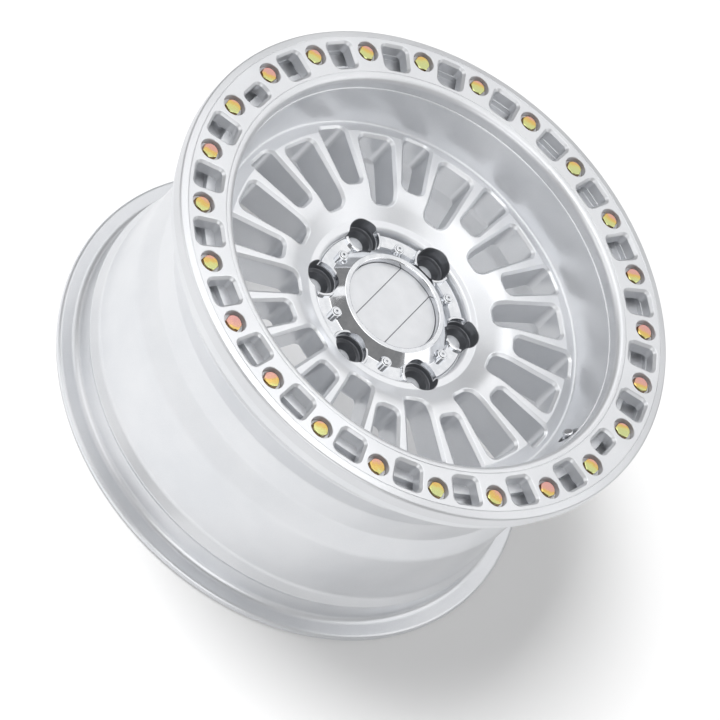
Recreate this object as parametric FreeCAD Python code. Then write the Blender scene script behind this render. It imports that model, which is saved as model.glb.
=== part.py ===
"""Off-road alloy wheel with a bolted outer ring, a screwed centre cap and a recessed tyre valve.

Millimetres. The origin is the centre of the hub mounting face and +Z points outboard, so the wheel
lies face up and stands on its inboard flange. Angles run anticlockwise as seen from the face.
"""

import FreeCAD
import Part
import math
import os

# Rim contour
bead_seat_diameter = 436.6
flange_height = 18.0
rim_width = 215.9
rim_offset = 34.0
flange_round = 3.5
outboard_lip_thickness = 14.05
bead_corner_round = 6.5
bead_seat_width = 20.0
bead_seat_taper = 5.0
hump_height = 1.4
hump_reach = 3.5
inboard_lip_thickness = 7.5
inboard_lip_width = 19.0
well_radius = 203.0
well_top = 16.0
well_bottom = -14.0
barrel_radius = 210.5
barrel_start = -40.0
barrel_flare = 2.0
barrel_end_gap = 10.0
barrel_wall = 7.0

# Dish, spokes and hub
dish_mouth_radius = 188.0
dish_foot_radius = 180.5
dish_foot_height = 44.0
spoke_face_height = 50.0
spoke_edge_radius = 168.0
spoke_back_height = 16.0
spoke_root_radius = 190.0
bowl_shoulder_radius = 106.0
bowl_round = 40.0
hub_face_radius = 84.0
hub_face_height = 37.0
hub_edge_round = 3.5
hub_pad_radius = 86.0
hub_pad_draft = 4.0
hub_bore_diameter = 106.1
hub_bore_depth = 18.0
cap_bore_diameter = 103.0
cap_seat_radius = 75.5
cap_seat_height = 28.0

# Windows between the spokes
window_pairs = 12
window_chamfer = 2.8
window_phase = 7.5
short_window_tip = 116.0
short_window_end = 172.2
short_window_half_angle = 4.55
short_window_tip_round = 6.0
long_window_tip = 98.0
long_window_end = 163.4
long_window_half_angle = 5.95
long_window_tip_round = 7.0
window_end_round = 6.0

# Lug holes
lug_count = 6
lug_circle_diameter = 139.7
lug_phase = 37.5
lug_hole_diameter = 15.5
lug_pocket_diameter = 30.6
lug_pocket_floor = 23.0
lug_seat_diameter = 23.0

# Outer ring and its bolts
bolt_count = 24
bolt_circle_radius = 218.0
ring_thickness = 13.5
ring_outer_margin = 22.0
ring_inner_margin = 29.0
ring_lip_round = 6.0
ring_edge_width = 7.5
ring_edge_drop = 1.5
ring_edge_round = 2.5
ring_line_width = 1.0
ring_line_depth = 0.5
inner_line_inset = 8.0
bolt_seat_diameter = 20.0
bolt_seat_depth = 6.9
bolt_hole_diameter = 9.0
pocket_inner_margin = 15.7
pocket_outer_margin = 8.5
pad_pocket_outer_margin = -1.0
pad_pockets = (8, 20)
pocket_half_angle = 3.1
pocket_round = 4.5
pocket_chamfer = 2.5
landing_groove_inner_margin = 7.0
landing_groove_outer_margin = 8.0
landing_groove_depth = 6.0
boss_radius = 12.0
bolt_thread_diameter = 8.0
bolt_head_width = 13.0
bolt_head_height = 5.3
bolt_length = 14.0
thread_clearance = 0.15
bolt_end_clearance = 0.8

# Centre cap
cap_flange_gap = 1.5
cap_flange_thickness = 3.0
cap_wall = 3.0
cap_barrel_radius = 49.0
cap_skirt_radius = 61.0
cap_boss_diameter = 10.0
cap_boss_height = 5.0
cap_rim_height = 39.0
cap_rim_width = 5.0
cap_rim_round = 1.5
cap_disc_clearance = 0.3
cap_disc_thickness = 2.0
cap_disc_drop = 6.0
cap_spigot_depth = 8.0
cap_spigot_gap = 0.5
cap_notch_gap = 0.6
cap_collar_width = 2.2
cap_collar_height = 2.5
cap_bar_width = 35.0
cap_bar_angle = 37.5
cap_bar_groove = 0.8
cap_screw_circle_radius = 61.0
cap_screw_phase = 7.5
cap_screw_head_diameter = 7.0
cap_screw_head_height = 2.4
cap_screw_head_sink = 1.6
cap_screw_head_clearance = 0.3
cap_screw_thread_diameter = 4.0
cap_screw_length = 12.0
cap_screw_socket_width = 2.5

# Tyre valve, recessed in the dish wall
valve_angle = 127.5
valve_mouth_inset = 2.0
valve_mouth_drop = 12.0
valve_tilt = 50.0
valve_pocket_diameter = 18.0
valve_pocket_depth = 22.0
valve_wall = 16.0
valve_spot_diameter = 21.0
valve_stem_diameter = 8.0
valve_stem_top = -1.0
valve_hole_clearance = 0.15
valve_head_diameter = 16.0
valve_head_thickness = 4.0
valve_grommet_diameter = 17.0
valve_grommet_thickness = 4.0
valve_washer_diameter = 14.0
valve_washer_thickness = 1.5
valve_nut_width = 12.0
valve_nut_height = 5.0
valve_air_hole_diameter = 3.2
core_bore_diameter = 5.2
core_clearance = 0.1
core_top = -3.0
core_bottom = -24.0
core_wall = 0.8
core_guide_length = 2.0
core_seal_thickness = 1.4
core_seal_gap = 0.1
core_plate_thickness = 1.2
core_plate_diameter = 4.0
pin_diameter = 1.2
pin_top = -1.4
pin_foot = 2.0
pin_clearance = 0.2
pin_collar_diameter = 2.6
pin_collar_thickness = 1.0
pin_collar_drop = 3.0
valve_cap_diameter = 11.0
valve_cap_top = 4.5
valve_cap_foot = -13.0
valve_cap_clearance = 0.15
valve_cap_round = 2.5
valve_cap_seal_thickness = 1.2
valve_cap_seal_gap = 0.1

OVERSHOOT = 30.0
AXIS = FreeCAD.Vector(0, 0, 1)
ORIGIN = FreeCAD.Vector(0, 0, 0)

bead_radius = bead_seat_diameter / 2
flange_radius = bead_radius + flange_height
outboard_flange = rim_width / 2 - rim_offset
inboard_flange = -rim_width / 2 - rim_offset
landing_height = outboard_flange + outboard_lip_thickness
ring_face_height = landing_height + ring_thickness
bolt_seat_height = ring_face_height - bolt_seat_depth
valve_mouth_radius = dish_mouth_radius - valve_mouth_inset
valve_mouth_height = landing_height - valve_mouth_drop
bolt_pitch = 360.0 / bolt_count
bolt_tip_height = bolt_seat_height - bolt_length
ring_outer_radius = bolt_circle_radius + ring_outer_margin
ring_inner_radius = bolt_circle_radius - ring_inner_margin
cap_flange_top = cap_seat_height + cap_flange_thickness
cap_screw_seat = cap_flange_top + cap_boss_height - cap_screw_head_sink
lug_circle_radius = lug_circle_diameter / 2


def flat(x, y, z=0.0):
    """A point of an outline drawn seen from the face."""
    return FreeCAD.Vector(x, y, z)


def section(radius, height):
    """A point of a turned section, on the X side of the axis."""
    return FreeCAD.Vector(radius, 0, height)


def rounded_wire(corners, place):
    """Close an outline of (u, v, round) corners with straight runs and tangent arcs."""
    edges = []
    points = [FreeCAD.Vector(u, v, 0) for u, v, _ in corners]
    joints = []
    for index, (_, _, radius) in enumerate(corners):
        here = points[index]
        back = (points[index - 1] - here).normalize()
        ahead = (points[(index + 1) % len(points)] - here).normalize()
        half = back.getAngle(ahead) / 2
        reach = radius / math.tan(half)
        middle = here + (back + ahead).normalize() * (radius / math.sin(half) - radius)
        joints.append((here + back * reach, middle, here + ahead * reach, radius))
    for index, (start, middle, end, radius) in enumerate(joints):
        before = joints[index - 1][2]
        edges.append(Part.makeLine(place(before.x, before.y), place(start.x, start.y)))
        if radius > 0:
            arc = Part.Arc(place(start.x, start.y), place(middle.x, middle.y), place(end.x, end.y))
            edges.append(arc.toShape())
    return Part.Wire(edges)


def turned(corners):
    """Revolve a rounded section about the wheel's axis."""
    return Part.Face(rounded_wire(corners, section)).revolve(ORIGIN, AXIS, 360)


def disc(diameter, bottom, top, x=0.0, y=0.0):
    """A plain upright cylinder between two heights."""
    return Part.makeCylinder(diameter / 2, top - bottom, FreeCAD.Vector(x, y, bottom), AXIS)


def washer(outer, inner, bottom, top):
    """A flat ring between two heights."""
    return disc(outer, bottom, top).cut(disc(inner, bottom, top))


def hexagon(width, bottom, top):
    """An upright hexagonal bar, given the width across its flats."""
    radius = width / math.sqrt(3)
    points = [flat(radius * math.cos(math.radians(a)), radius * math.sin(math.radians(a)), bottom)
              for a in range(0, 420, 60)]
    return Part.Face(Part.makePolygon(points)).extrude(FreeCAD.Vector(0, 0, top - bottom))


def around(shape, count, phase, radius=0.0):
    """Copies of a shape set out on a circle, the first one at the phase angle."""
    copies = []
    for index in range(count):
        copy = shape.copy()
        copy.translate(FreeCAD.Vector(radius, 0, 0))
        copy.rotate(ORIGIN, AXIS, phase + index * 360.0 / count)
        copies.append(copy)
    return copies


def sector_wire(inner, outer, half_angle, inner_round, outer_round, grow, height):
    """The outline of a sector shaped hole on the X axis, with its edges moved out by grow."""
    slope = math.tan(math.radians(half_angle))
    side = grow / math.cos(math.radians(half_angle))
    low = inner - grow
    high = outer + grow
    low_half = low * slope + side
    high_half = high * slope + side
    corners = [(low, -low_half, inner_round + grow), (high, -high_half, outer_round + grow),
               (high, high_half, outer_round + grow), (low, low_half, inner_round + grow)]
    return rounded_wire(corners, lambda u, v: flat(u, v, height))


def chamfered_hole(outline, chamfer, bottom, face):
    """A cutter for a straight hole with a bevelled mouth, from an outline(grow, height)."""
    shank = Part.Face(outline(0.0, bottom)).extrude(FreeCAD.Vector(0, 0, face - bottom))
    rise = chamfer
    mouth = Part.makeLoft([outline(0.0, face - chamfer), outline(chamfer + rise, face + rise)], True, True)
    return shank.fuse(mouth)


def short_window():
    """Cutter for a window that reaches from the spoke face out into the sloping band."""
    def outline(grow, height):
        return sector_wire(short_window_tip, short_window_end, short_window_half_angle,
                           short_window_tip_round, window_end_round, grow, height)
    return chamfered_hole(outline, window_chamfer, -OVERSHOOT, spoke_face_height)


def long_window():
    """Cutter for a window that reaches from the spoke face down into the bowl."""
    def outline(grow, height):
        return sector_wire(long_window_tip, long_window_end, long_window_half_angle,
                           long_window_tip_round, window_end_round, grow, height)
    return chamfered_hole(outline, window_chamfer, -OVERSHOOT, spoke_face_height)


def lug_hole():
    """Cutter for a lug hole: deep nut pocket, conical seat and bolt clearance."""
    seat_depth = (lug_seat_diameter - lug_hole_diameter) / 2 * math.sqrt(3)
    pocket = disc(lug_pocket_diameter, lug_pocket_floor, spoke_face_height)
    seat = Part.makeCone(lug_hole_diameter / 2, lug_seat_diameter / 2, seat_depth,
                         FreeCAD.Vector(0, 0, lug_pocket_floor - seat_depth), AXIS)
    return pocket.fuse([seat, disc(lug_hole_diameter, -OVERSHOOT, lug_pocket_floor)])


def in_valve_place(shape):
    """Carry a shape from the valve's own axis, mouth at the origin, to its place in the dish wall."""
    placed = shape.copy()
    placed.rotate(ORIGIN, FreeCAD.Vector(0, 1, 0), -(90 - valve_tilt))
    placed.translate(FreeCAD.Vector(valve_mouth_radius, 0, valve_mouth_height))
    placed.rotate(ORIGIN, AXIS, valve_angle)
    return placed


def valve_hole():
    """Cutter for the valve: pocket from the dish, drilled wall and spot face on the tyre side."""
    spot_height = -valve_pocket_depth - valve_wall
    drill = valve_stem_diameter + 2 * valve_hole_clearance
    cutter = disc(valve_pocket_diameter, -valve_pocket_depth, OVERSHOOT)
    cutter = cutter.fuse(disc(drill, spot_height, -valve_pocket_depth))
    return in_valve_place(cutter.fuse(disc(valve_spot_diameter, spot_height - OVERSHOOT, spot_height)))


def wheel_casting():
    """The whole one-piece wheel, turned from one section and then pierced."""
    seat_fall = bead_seat_width * math.tan(math.radians(bead_seat_taper))
    seat_end = bead_radius - seat_fall
    outer_seat_end = outboard_flange - bead_seat_width
    inner_seat_end = inboard_flange + bead_seat_width
    groove_floor = landing_height - landing_groove_depth
    groove_inner = bolt_circle_radius - landing_groove_inner_margin
    groove_outer = bolt_circle_radius + landing_groove_outer_margin
    barrel_end = inner_seat_end + hump_reach + barrel_end_gap
    rest = inboard_flange - inboard_lip_thickness
    corners = [
        (hub_bore_diameter / 2, 0, 0),
        (hub_bore_diameter / 2, hub_bore_depth, 0),
        (cap_bore_diameter / 2, hub_bore_depth, 0),
        (cap_bore_diameter / 2, cap_seat_height, 0),
        (cap_seat_radius, cap_seat_height, 0),
        (cap_seat_radius, hub_face_height, hub_edge_round),
        (hub_face_radius, hub_face_height, 0),
        (bowl_shoulder_radius, spoke_face_height, bowl_round),
        (spoke_edge_radius, spoke_face_height, 0),
        (dish_foot_radius, dish_foot_height, 0),
        (dish_mouth_radius, landing_height, 0),
        (groove_inner, landing_height, 0),
        (groove_inner, groove_floor, 0),
        (groove_outer, groove_floor, 0),
        (groove_outer, landing_height, 0),
        (flange_radius, landing_height, flange_round),
        (flange_radius, outboard_flange, flange_round),
        (bead_radius, outboard_flange, bead_corner_round),
        (seat_end, outer_seat_end, 0),
        (seat_end + hump_height, outer_seat_end - hump_reach, 0),
        (well_radius, well_top, 0),
        (well_radius, well_bottom, 0),
        (barrel_radius, barrel_start, 0),
        (barrel_radius + barrel_flare, barrel_end, 0),
        (seat_end + hump_height, inner_seat_end + hump_reach, 0),
        (seat_end, inner_seat_end, 0),
        (bead_radius, inboard_flange, bead_corner_round),
        (flange_radius, inboard_flange, flange_round),
        (flange_radius, rest, flange_round),
        (flange_radius - inboard_lip_width, rest, 0),
        (barrel_radius + barrel_flare - barrel_wall, barrel_end - barrel_end_gap, 0),
        (barrel_radius - barrel_wall, barrel_start, 0),
        (well_radius - barrel_wall, well_bottom, 0),
        (spoke_root_radius, spoke_back_height, 0),
        (hub_pad_radius + hub_pad_draft, spoke_back_height, 0),
        (hub_pad_radius, 0, 0),
    ]
    body = turned(corners)
    boss = disc(2 * boss_radius, groove_floor, landing_height)
    body = body.fuse(around(boss, bolt_count, 0.0, bolt_circle_radius))
    spacing = 360.0 / window_pairs
    cutters = around(short_window(), window_pairs, window_phase)
    cutters += around(long_window(), window_pairs, window_phase + spacing / 2)
    cutters += around(lug_hole(), lug_count, lug_phase, lug_circle_radius)
    tapped = bolt_thread_diameter + 2 * thread_clearance
    bolt_hole = disc(tapped, bolt_tip_height - bolt_end_clearance, ring_face_height)
    cutters += around(bolt_hole, bolt_count, 0.0, bolt_circle_radius)
    screw = cap_screw_thread_diameter + 2 * thread_clearance
    screw_tip = cap_screw_seat - cap_screw_length - bolt_end_clearance
    cutters += around(disc(screw, screw_tip, hub_face_height), lug_count, cap_screw_phase,
                      cap_screw_circle_radius)
    cutters.append(valve_hole())
    return body.cut(cutters).removeSplitter()


def bolted_ring():
    """The ring on the landing, with counterbored bolt seats and bevelled pockets between them."""
    edge = ring_outer_radius - ring_edge_width
    inner_line = ring_inner_radius + inner_line_inset
    corners = [
        (ring_inner_radius, landing_height, 0),
        (ring_inner_radius, ring_face_height, ring_lip_round),
        (inner_line - ring_line_width / 2, ring_face_height, 0),
        (inner_line, ring_face_height - ring_line_depth, 0),
        (inner_line + ring_line_width / 2, ring_face_height, 0),
        (edge - ring_line_width / 2, ring_face_height, 0),
        (edge, ring_face_height - ring_line_depth, 0),
        (edge + ring_line_width / 2, ring_face_height, 0),
        (ring_outer_radius, ring_face_height - ring_edge_drop, ring_edge_round),
        (ring_outer_radius, landing_height, 0),
    ]
    ring = turned(corners)
    seat = disc(bolt_seat_diameter, bolt_seat_height, ring_face_height + OVERSHOOT)
    seat = seat.fuse(disc(bolt_hole_diameter, landing_height - OVERSHOOT, bolt_seat_height))
    cutters = around(seat, bolt_count, 0.0, bolt_circle_radius)
    inner = bolt_circle_radius - pocket_inner_margin
    for index in range(bolt_count):
        margin = pad_pocket_outer_margin if index in pad_pockets else pocket_outer_margin

        def outline(grow, height, outer=bolt_circle_radius + margin):
            return sector_wire(inner, outer, pocket_half_angle, pocket_round, pocket_round, grow, height)
        pocket = chamfered_hole(outline, pocket_chamfer, landing_height - OVERSHOOT, ring_face_height)
        pocket.rotate(ORIGIN, AXIS, (index + 0.5) * bolt_pitch)
        cutters.append(pocket)
    return ring.cut(cutters).removeSplitter()


def ring_bolts():
    """Hexagon bolts that hold the ring, heads just below its face."""
    head = hexagon(bolt_head_width, bolt_seat_height, bolt_seat_height + bolt_head_height)
    bolt = head.fuse(disc(bolt_thread_diameter, bolt_tip_height, bolt_seat_height)).removeSplitter()
    return Part.makeCompound(around(bolt, bolt_count, 0.0, bolt_circle_radius))


def centre_cap():
    """Thin cap: flange with collared notches and screw bosses, skirt up to a round rim, spigot below."""
    boss_top = cap_flange_top + cap_boss_height
    cap_radius = cap_seat_radius - cap_flange_gap
    disc_seat = cap_rim_height - cap_disc_drop - cap_disc_thickness
    recess = cap_barrel_radius - cap_rim_width
    spigot = cap_bore_diameter / 2 - cap_spigot_gap
    corners = [
        (0, disc_seat - cap_wall, 0),
        (0, disc_seat, 0),
        (recess, disc_seat, 0),
        (recess, cap_rim_height, cap_rim_round),
        (cap_barrel_radius, cap_rim_height, cap_rim_round),
        (cap_skirt_radius, cap_flange_top, 0),
        (cap_radius, cap_flange_top, cap_rim_round),
        (cap_radius, cap_seat_height, 0),
        (spigot, cap_seat_height, 0),
        (spigot, cap_seat_height - cap_spigot_depth, 0),
        (spigot - cap_wall, cap_seat_height - cap_spigot_depth, 0),
        (spigot - cap_wall, disc_seat - cap_wall, 0),
    ]
    notch_diameter = lug_pocket_diameter + 2 * cap_notch_gap
    notch = disc(notch_diameter, -OVERSHOOT, hub_face_height + OVERSHOOT)
    collar_top = cap_flange_top + cap_collar_height
    collar = disc(notch_diameter + 2 * cap_collar_width, cap_seat_height, collar_top, lug_circle_radius)
    collar = collar.common(disc(2 * cap_radius, cap_seat_height, collar_top))
    screw = cap_screw_thread_diameter + 2 * thread_clearance
    head_room = cap_screw_head_diameter + 2 * cap_screw_head_clearance
    hole = disc(screw, -OVERSHOOT, cap_screw_seat).fuse(disc(head_room, cap_screw_seat, boss_top))
    boss = disc(cap_boss_diameter, cap_seat_height, boss_top)
    added = around(boss, lug_count, cap_screw_phase, cap_screw_circle_radius)
    added += around(collar, lug_count, lug_phase)
    shell = turned(corners).fuse(added)
    cutters = around(notch, lug_count, lug_phase, lug_circle_radius)
    cutters += around(hole, lug_count, cap_screw_phase, cap_screw_circle_radius)
    return shell.cut(cutters).removeSplitter()


def cap_disc():
    """Flat disc in the cap's barrel, with two straight grooves that bound a bare bar."""
    top = cap_rim_height - cap_disc_drop
    radius = cap_barrel_radius - cap_rim_width - cap_disc_clearance
    plate = disc(2 * radius, top - cap_disc_thickness, top)
    for side in (-1, 1):
        centre = side * cap_bar_width / 2
        groove = Part.makeBox(4 * radius, cap_bar_groove, cap_bar_groove)
        groove.translate(FreeCAD.Vector(-2 * radius, centre - cap_bar_groove / 2, top - cap_bar_groove / 2))
        plate = plate.cut(groove)
    plate.rotate(ORIGIN, AXIS, cap_bar_angle)
    return plate


def cap_screws():
    """Small socket screws in the bosses between the lug holes."""
    top = cap_screw_seat + cap_screw_head_height
    head = disc(cap_screw_head_diameter, cap_screw_seat, top)
    head = head.cut(hexagon(cap_screw_socket_width, top - cap_screw_head_height / 2, top))
    screw = head.fuse(disc(cap_screw_thread_diameter, cap_screw_seat - cap_screw_length, cap_screw_seat))
    return Part.makeCompound(around(screw, lug_count, cap_screw_phase, cap_screw_circle_radius))


def valve_stem():
    """Turned metal stem: head on the tyre side, threaded shank, stepped bore for the core."""
    head_top = -valve_pocket_depth - valve_wall - valve_grommet_thickness
    head_bottom = head_top - valve_head_thickness
    stem = disc(valve_stem_diameter, head_top, valve_stem_top)
    stem = stem.fuse(disc(valve_head_diameter, head_bottom, head_top))
    core_room = core_bottom - core_seal_thickness - core_plate_thickness - 2 * pin_foot
    stem = stem.cut(disc(core_bore_diameter, core_room, valve_stem_top))
    stem = stem.cut(disc(valve_air_hole_diameter, head_bottom, core_room))
    return in_valve_place(stem)


def valve_clamp():
    """Rubber grommet on the tyre side, washer and nut in the pocket."""
    bore = valve_stem_diameter + 2 * valve_hole_clearance
    floor = -valve_pocket_depth
    spot_height = floor - valve_wall
    grommet = washer(valve_grommet_diameter, bore, spot_height - valve_grommet_thickness, spot_height)
    plate = washer(valve_washer_diameter, bore, floor, floor + valve_washer_thickness)
    nut_foot = floor + valve_washer_thickness
    nut = hexagon(valve_nut_width, nut_foot, nut_foot + valve_nut_height)
    nut = nut.cut(disc(bore, nut_foot, nut_foot + valve_nut_height))
    return [in_valve_place(piece) for piece in (grommet, plate, nut)]


def valve_core():
    """Valve core: sleeve, sprung pin with its plate, spring as a plain tube, rubber seal."""
    outer = core_bore_diameter - 2 * core_clearance
    inner = outer - 2 * core_wall
    guide = pin_diameter + 2 * pin_clearance
    sleeve = disc(outer, core_bottom, core_top)
    sleeve = sleeve.cut(disc(inner, core_bottom + core_guide_length, core_top - core_guide_length))
    sleeve = sleeve.cut(disc(guide, core_bottom, core_top))
    seal_top = core_bottom - core_seal_gap
    plate_top = seal_top - core_seal_thickness
    plate_bottom = plate_top - core_plate_thickness
    collar_top = core_top - core_guide_length - pin_collar_drop
    collar_bottom = collar_top - pin_collar_thickness
    pin = disc(pin_diameter, plate_bottom - pin_foot, pin_top)
    pin = pin.fuse([disc(pin_collar_diameter, collar_bottom, collar_top),
                    disc(core_plate_diameter, plate_bottom, plate_top)])
    seal = washer(core_plate_diameter, guide, plate_top, seal_top)
    spring = washer(pin_collar_diameter, guide, core_bottom + core_guide_length, collar_bottom)
    return [in_valve_place(piece) for piece in (sleeve, pin, spring, seal)]


def valve_cap():
    """Screw cap over the stem, with its rubber disc."""
    bore = valve_stem_diameter + 2 * valve_cap_clearance
    seal_bottom = valve_stem_top + valve_cap_clearance
    seal_top = seal_bottom + valve_cap_seal_thickness
    roof = seal_top + valve_cap_seal_gap
    corners = [(0, roof, 0), (bore / 2, roof, 0), (bore / 2, valve_cap_foot, 0),
               (valve_cap_diameter / 2, valve_cap_foot, 0),
               (valve_cap_diameter / 2, valve_cap_top, valve_cap_round), (0, valve_cap_top, 0)]
    seal = disc(bore - 2 * valve_cap_clearance, seal_bottom, seal_top)
    return [in_valve_place(piece) for piece in (turned(corners), seal)]


def main():
    """Build every piece and write one file for each."""
    grommet, plate, nut = valve_clamp()
    sleeve, pin, spring, seal = valve_core()
    cap, cap_seal = valve_cap()
    pieces = {
        "wheel_body": wheel_casting(),
        "outer_ring": bolted_ring(),
        "ring_bolts": ring_bolts(),
        "centre_cap": centre_cap(),
        "cap_disc": cap_disc(),
        "cap_screws": cap_screws(),
        "valve_stem": valve_stem(),
        "valve_grommet": grommet,
        "valve_washer": plate,
        "valve_nut": nut,
        "valve_core_sleeve": sleeve,
        "valve_core_pin": pin,
        "valve_core_spring": spring,
        "valve_core_seal": seal,
        "valve_cap": cap,
        "valve_cap_seal": cap_seal,
    }
    os.makedirs("parts", exist_ok=True)
    for name, shape in pieces.items():
        shape.exportStep(os.path.join("parts", name + ".step"))
        print(name, len(shape.Solids), shape.isValid(), round(shape.Volume / 1000, 2))


main()
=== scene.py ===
"""Off-road alloy wheel with a bolted outer ring: detailed meshes, finishes, studio and camera.

The wheel lies face up with its axis on +Z and the hub mounting face at the origin. Sizes of the pieces
are in millimetres and are turned into metres where a mesh is made. Angles are in degrees, anticlockwise
as seen from the face.
"""

import logging
import math
from dataclasses import dataclass
from enum import Enum
from typing import Callable, Iterable, NamedTuple, Sequence, Union

import bpy
from mathutils import Matrix, Vector


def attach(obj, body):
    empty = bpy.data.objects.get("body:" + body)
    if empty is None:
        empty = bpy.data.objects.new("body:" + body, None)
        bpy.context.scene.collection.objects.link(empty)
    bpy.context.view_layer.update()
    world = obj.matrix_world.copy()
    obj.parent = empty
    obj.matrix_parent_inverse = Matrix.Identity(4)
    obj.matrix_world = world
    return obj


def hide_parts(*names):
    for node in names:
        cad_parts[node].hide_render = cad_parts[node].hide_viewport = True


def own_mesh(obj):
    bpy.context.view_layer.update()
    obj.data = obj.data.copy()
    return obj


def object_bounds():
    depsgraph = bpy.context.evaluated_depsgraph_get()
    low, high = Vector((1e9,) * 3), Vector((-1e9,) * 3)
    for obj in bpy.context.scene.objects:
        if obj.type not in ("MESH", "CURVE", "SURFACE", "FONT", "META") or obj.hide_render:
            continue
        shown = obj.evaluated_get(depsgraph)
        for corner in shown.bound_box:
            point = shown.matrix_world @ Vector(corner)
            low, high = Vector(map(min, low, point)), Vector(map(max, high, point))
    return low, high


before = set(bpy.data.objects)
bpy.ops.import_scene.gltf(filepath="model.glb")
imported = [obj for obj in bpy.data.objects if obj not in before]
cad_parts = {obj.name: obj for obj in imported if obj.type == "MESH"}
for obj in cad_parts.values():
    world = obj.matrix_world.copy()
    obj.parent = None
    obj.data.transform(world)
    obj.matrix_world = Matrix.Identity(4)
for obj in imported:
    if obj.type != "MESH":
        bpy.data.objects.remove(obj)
CAD_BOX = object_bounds()

LOG = logging.getLogger("wheel")
MM = 0.001
TURN_STEPS = 264
HOLE_STEPS = 64
SMALL_STEPS = 48
ARC_STEP = 9.0
THROUGH = 30.0

Flat = tuple[float, float]
Corner = tuple[float, float, float]
Colour = tuple[float, float, float, float]


class Body(Enum):
    """The rigid bodies that pieces ride on."""

    WHEEL = "wheel"
    CAP = "screw_cap"


class Cut(Enum):
    """How one mesh acts on another."""

    AWAY = "DIFFERENCE"
    ADD = "UNION"
    WITHIN = "INTERSECT"


class Floor(Enum):
    """Whether a lamp lights the floor alone or everything but the floor."""

    ALONE = "INCLUDE"
    LEFT_OUT = "EXCLUDE"


class LampFace(Enum):
    """The outline of a lamp's face."""

    SQUARE = "SQUARE"
    ROUND = "DISK"


class HoleCircle(NamedTuple):
    """Equal places on a circle about the wheel's axis."""

    number: int
    phase: float
    radius: float


LUGS = HoleCircle(6, 37.5, 69.85)
BOLTS = HoleCircle(24, 0.0, 218.0)
CAP_SCREWS = HoleCircle(6, 7.5, 61.0)
BAR_WIDTH = 35.0
BAR_ANGLE = 37.5


def rounded(corners: Sequence[Corner]) -> list[Flat]:
    """Sample a closed outline of corners with tangent arcs.

    Args:
        corners: Points as (u, v, round) in millimetres.

    Returns:
        The points of the outline in order, with the same count for outlines that differ only in size.
    """
    points: list[Flat] = []
    spots = [Vector((u, v)) for u, v, _ in corners]
    for index, (_, _, radius) in enumerate(corners):
        here = spots[index]
        back = (spots[index - 1] - here).normalized()
        ahead = (spots[(index + 1) % len(spots)] - here).normalized()
        if radius <= 0:
            points.append(tuple(here))
            continue
        half = back.angle(ahead) / 2
        centre = here + (back + ahead).normalized() * (radius / math.sin(half))
        start = here + back * (radius / math.tan(half)) - centre
        end = here + ahead * (radius / math.tan(half)) - centre
        turn = start.angle_signed(end)
        count = max(2, math.ceil(abs(math.degrees(turn)) / ARC_STEP))
        points += [tuple(centre + Matrix.Rotation(-turn * k / count, 2) @ start) for k in range(count + 1)]
    return points


def polar(radius: float, degrees: float) -> Flat:
    """The flat point at a radius and an angle."""
    return radius * math.cos(math.radians(degrees)), radius * math.sin(math.radians(degrees))


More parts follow.
